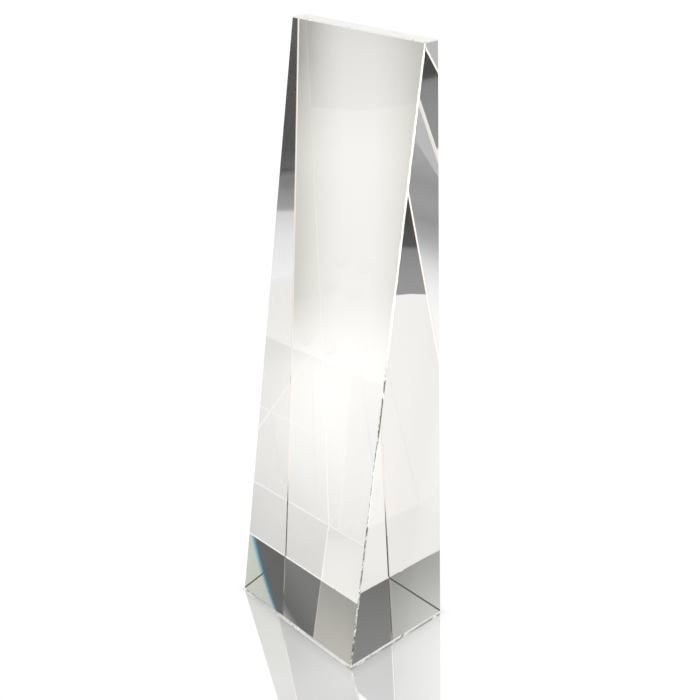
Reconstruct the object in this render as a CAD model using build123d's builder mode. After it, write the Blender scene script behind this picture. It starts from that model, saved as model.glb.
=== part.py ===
"""Crystal award: a solid wedge-shaped tower of clear optical crystal on four low clear feet.

The frame: the origin is the middle of the footprint, on the surface that the award stands on.
+Z is up, the sloping presentation face looks towards -Y and the upright rear face towards +Y.
"""

from build123d import *
import os

# The crystal block, in millimetres.
WIDTH = 60.0  # the same from base to top
BASE_DEPTH = 43.0
TOP_DEPTH = 5.5
BLOCK_HEIGHT = 203.0
EDGE_BEVEL = 0.4  # polished flat ground on every edge, measured along each face

# The clear feet stuck under the block.
FOOT_DIAMETER = 8.0
FOOT_HEIGHT = 0.5
FOOT_RIM_RADIUS = 0.2
FOOT_INSET = 7.0  # from a foot's centre to the two nearest sides of the block

# Places worked out from the sizes above.
BLOCK_BASE = FOOT_HEIGHT
BLOCK_TOP = BLOCK_BASE + BLOCK_HEIGHT
REAR = BASE_DEPTH / 2
FRONT_AT_BASE = -BASE_DEPTH / 2
FRONT_AT_TOP = REAR - TOP_DEPTH
FOOT_X = WIDTH / 2 - FOOT_INSET
FOOT_Y = BASE_DEPTH / 2 - FOOT_INSET

os.makedirs("parts", exist_ok=True)


# Crystal tower: one block with an upright rear face and a front face that leans back.
with BuildPart() as crystal_tower:
    with BuildSketch(Plane.YZ):
        with BuildLine():
            Polyline(
                (FRONT_AT_BASE, BLOCK_BASE),
                (REAR, BLOCK_BASE),
                (REAR, BLOCK_TOP),
                (FRONT_AT_TOP, BLOCK_TOP),
                close=True,
            )
        make_face()
    extrude(amount=WIDTH / 2, both=True)
    chamfer(crystal_tower.edges(), length=EDGE_BEVEL)
crystal_tower.part.label = "crystal_tower"
export_step(crystal_tower.part, "parts/crystal_tower.step")


def write_foot(name, x, y):
    """One low round foot, its flat top against the block and its lower rim rounded."""
    with BuildPart() as foot:
        with BuildSketch(Plane.XY):
            with Locations((x, y)):
                Circle(FOOT_DIAMETER / 2)
        extrude(amount=FOOT_HEIGHT)
        lower_rim = foot.edges().group_by(Axis.Z)[0]
        fillet(lower_rim, radius=FOOT_RIM_RADIUS)
    foot.part.label = name
    export_step(foot.part, f"parts/{name}.step")


for end, y in (("front", -FOOT_Y), ("rear", FOOT_Y)):
    for side, x in (("left", -FOOT_X), ("right", FOOT_X)):
        write_foot(f"foot_{end}_{side}", x, y)
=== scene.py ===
import bpy, bmesh, math
from mathutils import Matrix, Vector


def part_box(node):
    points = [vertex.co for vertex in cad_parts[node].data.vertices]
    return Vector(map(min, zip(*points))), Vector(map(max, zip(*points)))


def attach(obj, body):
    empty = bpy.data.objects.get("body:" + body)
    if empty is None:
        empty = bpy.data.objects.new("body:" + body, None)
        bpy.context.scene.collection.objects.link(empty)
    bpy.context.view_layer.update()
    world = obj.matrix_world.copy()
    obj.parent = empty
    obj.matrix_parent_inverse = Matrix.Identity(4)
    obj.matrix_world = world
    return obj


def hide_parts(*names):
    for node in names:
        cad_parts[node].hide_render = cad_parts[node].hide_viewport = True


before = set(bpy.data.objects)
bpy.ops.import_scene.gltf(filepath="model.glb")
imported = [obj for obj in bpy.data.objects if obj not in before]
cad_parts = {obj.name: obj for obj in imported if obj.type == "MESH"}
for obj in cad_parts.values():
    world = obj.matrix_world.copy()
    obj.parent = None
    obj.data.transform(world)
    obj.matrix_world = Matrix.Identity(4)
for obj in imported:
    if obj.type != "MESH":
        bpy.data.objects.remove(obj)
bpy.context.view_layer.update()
scene = bpy.context.scene
scene.view_settings.view_transform = "Standard"

# Light is reflected many times inside the block before it leaves, most of all at the bevels.
BOUNCES = 128
scene.cycles.max_bounces = BOUNCES
scene.cycles.glossy_bounces = BOUNCES
scene.cycles.transmission_bounces = BOUNCES

# The object. The block's own sizes come from the frame.
BEVEL = 0.0004  # width of a ground bevel along each face
CRYSTAL_INDEX = 1.53
SILICONE_INDEX = 1.41
AIR = 0.00002  # the feet touch the block dry, so a hair of air is left between them
PAD_RIM = 0.0002  # radius of a foot's lower rim
PAD_TOP_EDGE = 0.00006  # slope round the top of a foot
PAD_DISH = 0.00004  # how far the middle of a foot's top is sunk
PAD_STEPS = 64  # flats round a foot

# The way the camera looks, turned from +Y towards -X, and the two level directions that
# the stage is laid out in: along the view and across it to the right.
VIEW = math.radians(49.75)
ALONG = Vector((-math.sin(VIEW), math.cos(VIEW)))
ACROSS = Vector((math.cos(VIEW), math.sin(VIEW)))
UP = (0, 0, 1)

# Grounds that only the crystal shows lie just under the floor, one above the other.
SHEET_Z = -0.001
MIRRORED_Z = -0.0009
TABLE_Z = -0.0008

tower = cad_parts["crystal_tower"]
tower_low, tower_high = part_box("crystal_tower")


# ------------------------------------------------------------- node helpers
def material(name):
    """A new, empty node material and its node tree."""
    mat = bpy.data.materials.new(name)
    mat.use_nodes = True
    mat.node_tree.nodes.clear()
    return mat, mat.node_tree


def node(tree, kind, **values):
    """A new node, with its properties and its inputs set by name."""
    new = tree.nodes.new(kind)
    for key, value in values.items():
        if hasattr(new, key):
            setattr(new, key, value)
        else:
            new.inputs[key.replace("_", " ")].default_value = value
    return new


def maths(tree, operation, *values):
    """One calculation on numbers and sockets."""
    new = node(tree, "ShaderNodeMath", operation=operation)
    for socket, value in zip(new.inputs, values):
        if isinstance(value, (int, float)):
            socket.default_value = value
        else:
            tree.links.new(value, socket)
    return new.outputs[0]


def blend(tree, kind, base, over, share=1.0):
    """Two colours put together by kind: "MIX", "MULTIPLY" or "ADD"."""
    # Inputs 6 and 7 and output 2 are the node's colour ones.
    mix = node(tree, "ShaderNodeMix", data_type="RGBA", blend_type=kind)
    for place, value in ((0, share), (6, base), (7, over)):
        if isinstance(value, (float, tuple)):
            mix.inputs[place].default_value = value
        else:
            tree.links.new(value, mix.inputs[place])
    return mix.outputs[2]


def rescaled(tree, source, low, high, to_low=0.0, to_high=1.0):
    """source taken from low..high to to_low..to_high, and held at those ends."""
    scale = node(tree, "ShaderNodeMapRange", From_Min=low, From_Max=high, To_Min=to_low, To_Max=to_high)
    tree.links.new(source, scale.inputs["Value"])
    return scale.outputs["Result"]


def ramp_of(tree, source, stops, low, high):
    """A grey or coloured ramp over source, with its stops given in source's own units."""
    ramp = node(tree, "ShaderNodeValToRGB")
    tree.links.new(rescaled(tree, source, low, high), ramp.inputs["Fac"])
    bands = ramp.color_ramp.elements
    while len(bands) > 1:
        bands.remove(bands[-1])
    for i, (at, level) in enumerate(stops):
        place = (at - low) / (high - low)
        band = bands[0] if i == 0 else bands.new(place)
        band.position = place
        band.color = (*level, 1) if isinstance(level, tuple) else (level, level, level, 1)
    return ramp.outputs["Color"]


def object_place(tree):
    return node(tree, "ShaderNodeTexCoord").outputs["Object"]


def along_direction(tree, direction):
    """How far a point lies along a direction of two or three parts, in metres."""
    dot = node(tree, "ShaderNodeVectorMath", operation="DOT_PRODUCT")
    dot.inputs[1].default_value = (*direction, 0, 0)[:3]
    tree.links.new(object_place(tree), dot.inputs[0])
    return dot.outputs["Value"]


# ------------------------------------------------------ the award's materials
def painted_fringe_stops(half_width):
    """Painted dispersion colours at the two sides of the left bevels, by place across the block."""
    red, blue, plain = (1.0, 0.7, 0.42), (0.6, 0.8, 1.0), (1.0, 1.0, 1.0)
    left = -half_width
    return [
        (left, red),
        (left + BEVEL * 0.25, plain),
        (left + BEVEL * 0.75, plain),
        (left + BEVEL, blue),
        (left + BEVEL * 1.2, plain),
        (half_width, plain),
    ]


def crystal_material():
    mat, tree = material("optical_crystal")
    link = tree.links.new
    # The polish is even; only the clearness of the crystal drifts a very little.
    drift = node(tree, "ShaderNodeTexNoise", Scale=40.0, Detail=3.0)
    link(object_place(tree), drift.inputs["Vector"])
    clear = [(0.3, (0.994, 0.998, 0.995)), (0.7, (1.0, 1.0, 1.0))]
    clear = ramp_of(tree, drift.outputs["Fac"], clear, 0, 1)
    # The ground bevels, told from the broad faces by their slant, are less finely polished.
    where = node(tree, "ShaderNodeTexCoord")
    facing = node(tree, "ShaderNodeVectorMath", operation="ABSOLUTE")
    link(where.outputs["Normal"], facing.inputs[0])
    parts = node(tree, "ShaderNodeSeparateXYZ")
    link(facing.outputs["Vector"], parts.inputs[0])
    broad = maths(tree, "MAXIMUM", parts.outputs["X"], parts.outputs["Y"])
    broad = maths(tree, "MAXIMUM", broad, parts.outputs["Z"])
    on_bevel, on_face = 0.85, 0.95
    bevel_roughness = 0.03
    glass = node(tree, "ShaderNodeBsdfGlass", IOR=CRYSTAL_INDEX)
    link(rescaled(tree, broad, on_bevel, on_face, bevel_roughness, 0.0), glass.inputs["Roughness"])
    # The upright bevels, seen through the block, get painted dispersion colours at their two sides.
    across = along_direction(tree, (1, 0))
    painted_fringe = ramp_of(tree, across, painted_fringe_stops(tower_high.x), -tower_high.x, tower_high.x)
    slanting = rescaled(tree, broad, on_bevel, on_face, 1.0, 0.0)
    link(blend(tree, "MIX", clear, painted_fringe, slanting), glass.inputs["Color"])
    out = node(tree, "ShaderNodeOutputMaterial")
    link(glass.outputs[0], out.inputs["Surface"])
    return mat


def silicone_material():
    mat, tree = material("clear_silicone")
    link = tree.links.new
    cloud = node(tree, "ShaderNodeTexNoise", Scale=900.0, Detail=4.0)
    link(object_place(tree), cloud.inputs["Vector"])
    surface = node(tree, "ShaderNodeBsdfPrincipled", IOR=SILICONE_INDEX)
    surface.inputs["Transmission Weight"].default_value = 0.95
    milky = [(0.3, (0.95, 0.965, 0.965)), (0.7, (0.99, 0.995, 0.995))]
    link(ramp_of(tree, cloud.outputs["Fac"], milky, 0, 1), surface.inputs["Base Color"])
    link(rescaled(tree, cloud.outputs["Fac"], 0, 1, 0.03, 0.08), surface.inputs["Roughness"])
    bump = node(tree, "ShaderNodeBump", Strength=0.4, Distance=0.00005)
    link(cloud.outputs["Fac"], bump.inputs["Height"])
    link(bump.outputs["Normal"], surface.inputs["Normal"])
    out = node(tree, "ShaderNodeOutputMaterial")
    link(surface.outputs[0], out.inputs["Surface"])
    return mat


# ---------------------------------------------------------- crystal and feet
def pad_outline(radius, bottom, top):
    """Half section of a foot, from the middle of its underside round to its dished top."""
    lower_rim = [
        (radius - PAD_RIM + PAD_RIM * math.sin(turn), bottom + PAD_RIM - PAD_RIM * math.cos(turn))
        for turn in (0.5, 1.0, math.pi / 2)
    ]
    underside = [(0.0, bottom), (radius * 0.5, bottom), (radius - PAD_RIM, bottom)]
    upper = [
        (radius, top - PAD_TOP_EDGE),
        (radius - PAD_TOP_EDGE, top),
        (radius * 0.8, top),
        (radius * 0.5, top - PAD_DISH * 0.75),
        (0.0, top - PAD_DISH),
    ]
    return underside + lower_rim + upper


def turned(name, outline, centre):
    """A closed shape turned round an upright line through centre."""
    shape = bmesh.new()
    rings = []
    turns = [2 * math.pi * k / PAD_STEPS for k in range(PAD_STEPS)]
    for r, z in outline:
        if r == 0.0:
            places = [(centre.x, centre.y, z)]
        else:
            places = [(centre.x + r * math.cos(t), centre.y + r * math.sin(t), z) for t in turns]
        rings.append([shape.verts.new(place) for place in places])
    for inner, outer in zip(rings, rings[1:]):
        for k in range(PAD_STEPS):
            j = (k + 1) % PAD_STEPS
            if len(inner) == 1:
                corners = (inner[0], outer[j], outer[k])
            elif len(outer) == 1:
                corners = (inner[k], inner[j], outer[0])
            else:
                corners = (inner[k], inner[j], outer[j], outer[k])
            shape.faces.new(corners)
    bmesh.ops.recalc_face_normals(shape, faces=shape.faces)
    mesh = bpy.data.meshes.new(name)
    shape.to_mesh(mesh)
    shape.free()
    mesh.shade_smooth()
    made = bpy.data.objects.new(name, mesh)
    scene.collection.objects.link(made)
    return made


def make_foot(name, mat):
    """A clear pad in place of the plain disc called name."""
    low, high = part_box(name)
    outline = pad_outline((high.x - low.x) / 2, low.z, high.z - AIR)
    pad = turned("pad_" + name, outline, (low + high) / 2)
    pad.data.materials.append(mat)
    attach(pad, "root")
    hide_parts(name)


tower.data.materials.clear()
tower.data.materials.append(crystal_material())
silicone = silicone_material()
for foot in sorted(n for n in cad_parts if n.startswith("foot_")):
    make_foot(foot, silicone)


# ------------------------------------------------------------- stage helpers
# The stage's light levels below follow tones measured in the reference photograph, along
# lines of sight traced through the block, then rounded and adjusted.
def stage_material(name, emit=0.0, albedo=0.0, mirror=0.0, stops=None, direction=None):
    """Paper, table or card: glows by emit, or by stops (metres, level) along a direction."""
    mat, tree = material(name)
    surface = node(tree, "ShaderNodeBsdfPrincipled", Roughness=1.0)
    surface.inputs["Base Color"].default_value = (albedo, albedo, albedo, 1)
    surface.inputs["Specular IOR Level"].default_value = 0.0
    surface.inputs["Emission Color"].default_value = (1, 1, 1, 1)
    surface.inputs["Emission Strength"].default_value = emit
    if stops:
        # The ramp holds the levels as shares of one strength.
        strength = 1.2
        surface.inputs["Emission Strength"].default_value = strength
        scaled = [(at, level / strength) for at, level in stops]
        glow = ramp_of(tree, along_direction(tree, direction), scaled, stops[0][0], stops[-1][0])
        tree.links.new(glow, surface.inputs["Emission Color"])
    look = part_mirror(tree, surface.outputs[0], mirror) if mirror else surface.outputs[0]
    out = node(tree, "ShaderNodeOutputMaterial")
    tree.links.new(look, out.inputs["Surface"])
    return mat


def part_mirror(tree, matt, mirror):
    """A polished coat that mirrors at a low angle, much less from above, and only near the award."""
    square_on, low_angle = 0.1, 0.38  # as the Facing output gives them
    polished_to, matt_from = 0.3, 0.5  # metres from the award
    gloss = node(tree, "ShaderNodeBsdfGlossy", Color=(1, 1, 1, 1), Roughness=0.02)
    tilt = node(tree, "ShaderNodeLayerWeight", Blend=0.5)
    share = rescaled(tree, tilt.outputs["Facing"], square_on, low_angle, 0.0, mirror)
    apart = node(tree, "ShaderNodeVectorMath", operation="LENGTH")
    tree.links.new(object_place(tree), apart.inputs[0])
    near = rescaled(tree, apart.outputs["Value"], polished_to, matt_from, 1.0, 0.0)
    mix = node(tree, "ShaderNodeMixShader")
    tree.links.new(maths(tree, "MULTIPLY", share, near), mix.inputs[0])
    tree.links.new(matt, mix.inputs[1])
    tree.links.new(gloss.outputs[0], mix.inputs[2])
    return mix.outputs[0]


def glow_input(mat):
    """The emission colour of a stage material, to read or to put something else on."""
    return mat.node_tree.nodes["Principled BSDF"].inputs["Emission Color"]


def panel(name, points, mat, seen, camera_too=False):
    """A flat staged piece. seen: "camera" for the floor, "through" for what shows through
    the crystal, "mirrored" for what shiny surfaces reflect, which camera_too shows as well."""
    mesh = bpy.data.meshes.new(name)
    mesh.from_pydata(points, [], [tuple(range(len(points)))])
    mesh.materials.append(mat)
    board = bpy.data.objects.new(name, mesh)
    scene.collection.objects.link(board)
    board.visible_shadow = False
    board.visible_diffuse = seen == "camera"
    board.visible_camera = seen == "camera" or camera_too
    board.visible_transmission = seen == "through"
    board.visible_glossy = seen == "mirrored"


def lying(corners, z):
    """Corners given as (across, along) pairs, laid flat at height z."""
    return [(*(ACROSS * across + ALONG * along), z) for across, along in corners]


def rectangle(across0, across1, along0, along1):
    return [(across0, along0), (across1, along0), (across1, along1), (across0, along1)]


def square(half):
    return rectangle(-half, half, -half, half)


# ------------------------------------------------------------------ grounds
def make_floor():
    """The pale floor, with a painted contact shadow under the block and close round it."""
    mat = stage_material("floor", emit=1.0, albedo=0.06, mirror=0.6)
    tree = mat.node_tree
    out_x = maths(tree, "ABSOLUTE", along_direction(tree, (1, 0)))
    out_y = maths(tree, "ABSOLUTE", along_direction(tree, (0, 1)))
    past_x = maths(tree, "SUBTRACT", out_x, tower_high.x)
    past_y = maths(tree, "SUBTRACT", out_y, tower_high.y)
    stops = [(-0.002, 0.3), (0.0, 0.5), (0.0015, 0.85), (0.005, 1.0)]
    shade = ramp_of(tree, maths(tree, "MAXIMUM", past_x, past_y), stops, -0.002, 0.005)
    tree.links.new(shade, glow_input(mat))
    panel("floor", lying(square(8), 0.0), mat, "camera")


def make_white_sheet():
    """The white sheet, glowing, with a painted pool of light straight behind the award."""
    stops = [
        (-0.6, 0.92), (0.0, 0.9), (0.015, 0.87), (0.026, 0.9), (0.033, 0.86), (0.037, 0.87),
        (0.042, 0.89), (0.05, 0.9), (0.09, 0.93), (0.13, 0.97), (0.17, 1.0), (0.2, 0.98),
        (0.26, 0.96), (0.37, 0.98), (0.43, 0.94), (0.52, 0.88), (0.6, 0.83), (1.0, 0.6),
    ]
    mat = stage_material("white_sheet", stops=stops, direction=ALONG)
    tree = mat.node_tree
    plain = glow_input(mat).links[0].from_socket
    far = along_direction(tree, ALONG)
    across = along_direction(tree, ACROSS)
    # The painted pool of light widens as it goes away, and fades towards its two sides.
    widening, half_at_award = 0.055, 0.015
    half_width = maths(tree, "MULTIPLY_ADD", maths(tree, "MAXIMUM", far, 0.0), widening, half_at_award)
    aside = maths(tree, "DIVIDE", maths(tree, "ABSOLUTE", across), half_width)
    stops = [
        (0.0, 1.0), (0.3, 0.99), (0.55, (0.93, 0.93, 0.92)), (0.75, (0.86, 0.86, 0.83)),
        (1.0, (0.74, 0.74, 0.7)), (1.3, (0.6, 0.6, 0.56)),
    ]
    falloff = ramp_of(tree, aside, stops, 0, 1.3)
    light_pool_begins = ramp_of(tree, far, [(0.15, 0.0), (0.21, 1.0)], 0.1, 0.3)
    with_light_pool = blend(tree, "MULTIPLY", plain, falloff, light_pool_begins)
    # Painted shade darkens the far left corner.
    stops = [(-0.05, 0.5), (-0.04, 0.7), (-0.03, 0.85), (-0.02, 0.95), (-0.01, 1.0)]
    left_painted_shade = ramp_of(tree, across, stops, -0.06, 0)
    far_end = ramp_of(tree, far, [(0.38, 0.0), (0.56, 1.0)], 0.3, 0.6)
    with_corner_shade = blend(tree, "MULTIPLY", with_light_pool, left_painted_shade, far_end)
    warm = blend(tree, "MULTIPLY", with_corner_shade, (1.01, 0.992, 0.967, 1))
    tree.links.new(warm, glow_input(mat))
    panel("white_sheet", lying(square(3), SHEET_Z), mat, "through")


def make_tables():
    """The table on either side of the sheet, and the dark room beyond the table."""
    # Its first stops paint shade on the white sheet towards its right edge.
    stops = [
        (0.18, 0.95), (0.225, 0.83), (0.243, 0.72), (0.254, 0.66), (0.256, 0.33), (0.285, 0.22),
        (0.302, 0.17), (0.305, 0.07), (0.34, 0.02), (0.5, 0.02), (0.56, 0.05), (1.2, 0.06),
    ]
    mat = stage_material("table_right", stops=stops, direction=ACROSS)
    panel("table_right", lying(rectangle(0.18, 3, -2.5, 1), TABLE_Z), mat, "through")
    stops = [(-1.2, 0.005), (-0.42, 0.01), (-0.342, 0.03), (-0.336, 0.2), (-0.3, 0.25), (-0.24, 0.28)]
    mat = stage_material("table_left", stops=stops, direction=ACROSS)
    corners = [(-3, -2.5), (-0.268, -2.5), (-0.268, 0.055), (-0.252, 0.1), (-0.252, 1), (-3, 1)]
    panel("table_left", lying(corners, TABLE_Z), mat, "through")


def make_mirrored_ground():
    """What the polished faces mirror: bright near the award, dark far out on both sides."""
    stops = [(-1.2, 0.05), (-0.62, 0.07), (-0.3, 0.6), (-0.2, 0.92), (0.2, 0.92), (0.45, 0.07), (1.2, 0.05)]
    mat = stage_material("mirrored_ground", stops=stops, direction=ACROSS)
    tree = mat.node_tree
    plain = glow_input(mat).links[0].from_socket
    # A painted pool of soft light lying on it, which makes the glow in the middle of the sloping face.
    squares = []
    for direction, centre, spread in ((ACROSS, -0.4, 0.15), (ALONG, 0.022, 0.03)):
        off = maths(tree, "SUBTRACT", along_direction(tree, direction), centre)
        off = maths(tree, "DIVIDE", off, spread)
        squares.append(maths(tree, "MULTIPLY", off, off))
    painted_light_bell = maths(tree, "EXPONENT", maths(tree, "MULTIPLY", maths(tree, "ADD", *squares), -0.5))
    brightness = 1.6
    lit = blend(tree, "ADD", plain, maths(tree, "MULTIPLY", painted_light_bell, brightness))
    tree.links.new(lit, glow_input(mat))
    panel("mirrored_ground", lying(square(6), MIRRORED_Z), mat, "mirrored")


make_floor()
make_white_sheet()
make_tables()
make_mirrored_ground()


# --------------------------------------------------- cards, strips and walls
def make_cards():
    """Glowing cards that paint the block's shadow on the floor: a grey card to the left of the block,
    just behind its rear face, with a lighter one above it for the shadow's soft end.
    Their light enters the block by its left face."""
    card_y = tower_high.y + 0.001
    outer, inner, low, high = -0.09, tower_low.x - 0.0025, 0.07, 0.2
    # The two cards meet along this slanting line and the level one beyond it.
    join = [(inner, 0.1338), (-0.0424, 0.16), (outer, 0.16)]
    stops = [
        (0.07, 0.95), (0.08, 0.91), (0.09, 0.79), (0.0955, 0.68), (0.1, 0.55), (0.107, 0.39),
        (0.117, 0.28), (0.126, 0.32), (0.135, 0.28), (0.142, 0.33), (0.15, 0.37), (0.16, 0.45),
    ]
    mat = stage_material("painted_shadow_card", stops=stops, direction=UP)
    corners = [(outer, low), (inner, low)] + join
    panel("painted_shadow_card", [(x, card_y, z) for x, z in corners], mat, "through")
    mat = stage_material("painted_half_shadow_card", emit=0.5)
    corners = [(inner, high), (outer, high)] + join[::-1]
    panel("painted_half_shadow_card", [(x, card_y, z) for x, z in corners], mat, "through")


def strip(name, towards, mat):
    """A narrow glowing strip a hair outside the bevel that faces towards, seen only through it, which
    paints light on that bevel.
    """
    hair = 0.00005
    towards = towards.normalized()
    bevels = [face for face in tower.data.polygons if face.normal.dot(towards) > 0.99]
    for n, face in enumerate(bevels):
        corners = [tower.matrix_world @ tower.data.vertices[i].co for i in face.vertices]
        panel(f"{name}_{n}", [corner + towards * hair for corner in corners], mat, "through")


def make_strips():
    """Glowing strips outside three of the upright edges paint their bevels' highlights, two with painted
    shade low down.
    """
    left, right, back = Vector((-1, 0, 0)), Vector((1, 0, 0)), Vector((0, 1, 0))
    front = min(tower.data.polygons, key=lambda face: face.normal.y).normal.copy()
    stops = [(0.0, 0.02), (0.024, 0.02), (0.036, 0.9), (0.2, 1.0)]
    strip("rear_strip", left + back, stage_material("rear_strip", stops=stops, direction=UP))
    stops = [(0.0, 0.06), (0.08, 0.06), (0.088, 1.2), (0.2, 1.3)]
    strip("near_strip", right + front, stage_material("near_strip", stops=stops, direction=UP))
    strip("front_strip", left + front, stage_material("front_strip", emit=1.3))


def make_walls():
    """Pale studio walls all round. Only the camera sees the foot of the three walls at the
    sides and behind it, so that the sloping face mirrors the dark low part of the room."""
    away, top = 6.5, 7.0
    backdrop, others = (1.02, 0.0), (1.0, 0.6)  # level, and height of the foot
    for n, (level, foot) in enumerate([backdrop] + [others] * 3):
        turn = Matrix.Rotation(n * math.pi / 2, 2)
        outwards, sideways = turn @ ALONG * away, turn @ ACROSS * away
        ends = [outwards + sideways, outwards - sideways]
        mat = stage_material(f"wall_{n}", emit=level)
        if foot:
            points = [(*ends[0], 0), (*ends[1], 0), (*ends[1], foot), (*ends[0], foot)]
            panel(f"wall_{n}_foot", points, mat, "camera")
        points = [(*ends[0], foot), (*ends[1], foot), (*ends[1], top), (*ends[0], top)]
        panel(f"wall_{n}_upper", points, mat, "mirrored", camera_too=True)


def make_bright_ramp():
    """A bright ramp far behind the camera, which the upper part of the nearest bevel mirrors."""
    near, far, far_z, drift = 0.472, 6.0, 0.6, -0.083
    near_half, far_half = 0.06, 0.45
    corners = [(near_half * side, near, 0.0) for side in (-1, 1)]
    corners += [(far_half * side, far, far_z) for side in (1, -1)]
    points = [(*(ACROSS * (side + drift * away) - ALONG * away), z) for side, away, z in corners]
    panel("bright_ramp", points, stage_material("bright_ramp", emit=17.0), "mirrored")


make_cards()
make_strips()
make_walls()
make_bright_ramp()


# ---------------------------------------------------------- lights and world
def softbox(name, azimuth, elevation, distance, size, power):
    """A square light, placed by degrees, that looks at the middle of the footprint."""
    turn, above = math.radians(azimuth), math.radians(elevation)
    light = bpy.data.lights.new(name, "AREA")
    light.shape = "SQUARE"
    light.size = size
    light.energy = power
    lamp = bpy.data.objects.new(name, light)
    scene.collection.objects.link(lamp)
    level = math.cos(above)
    away = Vector((math.sin(turn) * level, math.cos(turn) * level, math.sin(above)))
    lamp.location = away * distance
    lamp.rotation_euler = (-away).to_track_quat("-Z", "Y").to_euler()
    lamp.visible_glossy = False
    lamp.visible_transmission = False


def make_world():
    """The studio around and above, by azimuth and elevation in degrees: dark, with lit openings."""
    world = bpy.data.worlds.new("studio")
    scene.world = world
    world.use_nodes = True
    tree = world.node_tree
    tree.nodes.clear()
    where = node(tree, "ShaderNodeTexCoord")
    split = node(tree, "ShaderNodeSeparateXYZ")
    tree.links.new(where.outputs["Generated"], split.inputs[0])
    azimuth = maths(tree, "ARCTAN2", split.outputs["X"], split.outputs["Y"])
    azimuth = maths(tree, "DEGREES", azimuth)
    elevation = maths(tree, "DEGREES", maths(tree, "ARCSINE", split.outputs["Z"]))
    cream = (1.0, 0.97, 0.88)
    stops = [
        (-180, 0.95), (-139, 0.9), (-136, 0.62), (-134.7, 0.58), (-133.2, 0.44), (-132.3, 0.37),
        (-131.5, 0.4), (-130.2, cream), (-126, cream), (-76, 0.95), (-73.5, 0.06), (-69.2, 0.16),
        (-64.5, 0.16), (-63, 0.42), (-61, 0.5), (-59.5, 0.9), (-55, 0.9), (-52.5, 0.3),
        (-51, 0.15), (-45, 0.15), (-42, 0.95), (52, 0.95), (56, 0.6), (62, 0.6), (67, 0.06),
        (92, 0.06), (96, 0.95), (118, 0.95), (122, 0.07), (134, 0.07), (138, 0.95), (180, 0.95),
    ]
    round_about = ramp_of(tree, azimuth, stops, -180, 180)
    stops = [
        (0, 0.1), (4, 0.2), (20, 0.25), (26, 0.4), (30, 0.4), (31.5, 0.07), (34.6, 0.07),
        (35.3, 0.64), (36.2, 0.68), (36.7, 0.75), (37.6, 0.9), (38.5, 1.05), (40.2, 1.25),
        (44, 1.0), (90, 1.0),
    ]
    # The ramp holds these levels as shares of the background's strength.
    strength = 1.25
    stops = [(at, level / strength) for at, level in stops]
    upwards = ramp_of(tree, elevation, stops, 0, 90)
    room = blend(tree, "MULTIPLY", round_about, upwards)
    # One opening has a slanting edge, with the blue-green fringe that real crystal would give it.
    pivot, lean = 46.0, 0.9
    leaning = maths(tree, "MULTIPLY", maths(tree, "SUBTRACT", elevation, pivot), lean)
    slant = maths(tree, "SUBTRACT", azimuth, leaning)
    stops = [
        (73.05, 0.0), (73.2, (0.0, 0.07, 0.16)), (73.4, (0.08, 0.36, 0.55)),
        (73.6, (0.3, 0.6, 0.6)), (73.75, (0.55, 0.6, 0.56)), (76, (0.68, 0.68, 0.63)),
        (84, (0.72, 0.72, 0.66)), (86, 0.0),
    ]
    opening = ramp_of(tree, slant, stops, 60, 100)
    sill = ramp_of(tree, elevation, [(42.5, 0.0), (43.5, 1.0)], 40, 45)
    total = blend(tree, "ADD", room, blend(tree, "MULTIPLY", opening, sill))
    warm = blend(tree, "MULTIPLY", total, (1.01, 1.0, 0.96, 1))
    sky = node(tree, "ShaderNodeBackground", Strength=strength)
    tree.links.new(warm, sky.inputs[0])
    out = node(tree, "ShaderNodeOutputWorld")
    tree.links.new(sky.outputs[0], out.inputs[0])


softbox("softbox_left", azimuth=-129, elevation=58, distance=1.5, size=0.7, power=8.0)
softbox("softbox_right", azimuth=110, elevation=62, distance=1.6, size=0.7, power=6.0)
make_world()


# ------------------------------------------------------------------- camera
def make_camera(place, looking_down, roll, focal_length):
    """The camera, looking the way of VIEW and down, and turned a little about its own line."""
    down, turned_by = math.radians(looking_down), math.radians(roll)
    ahead = Vector((*(ALONG * math.cos(down)), -math.sin(down)))
    level = Vector((*ACROSS, 0))
    upright = level.cross(ahead)
    side = level * math.cos(turned_by) + upright * math.sin(turned_by)
    top = upright * math.cos(turned_by) - level * math.sin(turned_by)
    lens = bpy.data.cameras.new("camera")
    lens.lens = focal_length
    lens.clip_start = 0.01
    lens.dof.use_dof = False
    camera = bpy.data.objects.new("camera", lens)
    scene.collection.objects.link(camera)
    facing = Matrix((side, top, -ahead)).transposed().to_4x4()
    camera.matrix_world = Matrix.Translation(place) @ facing
    scene.camera = camera


make_camera((0.2782, -0.2264, 0.2775), looking_down=26.133, roll=-2.267, focal_length=62.6)
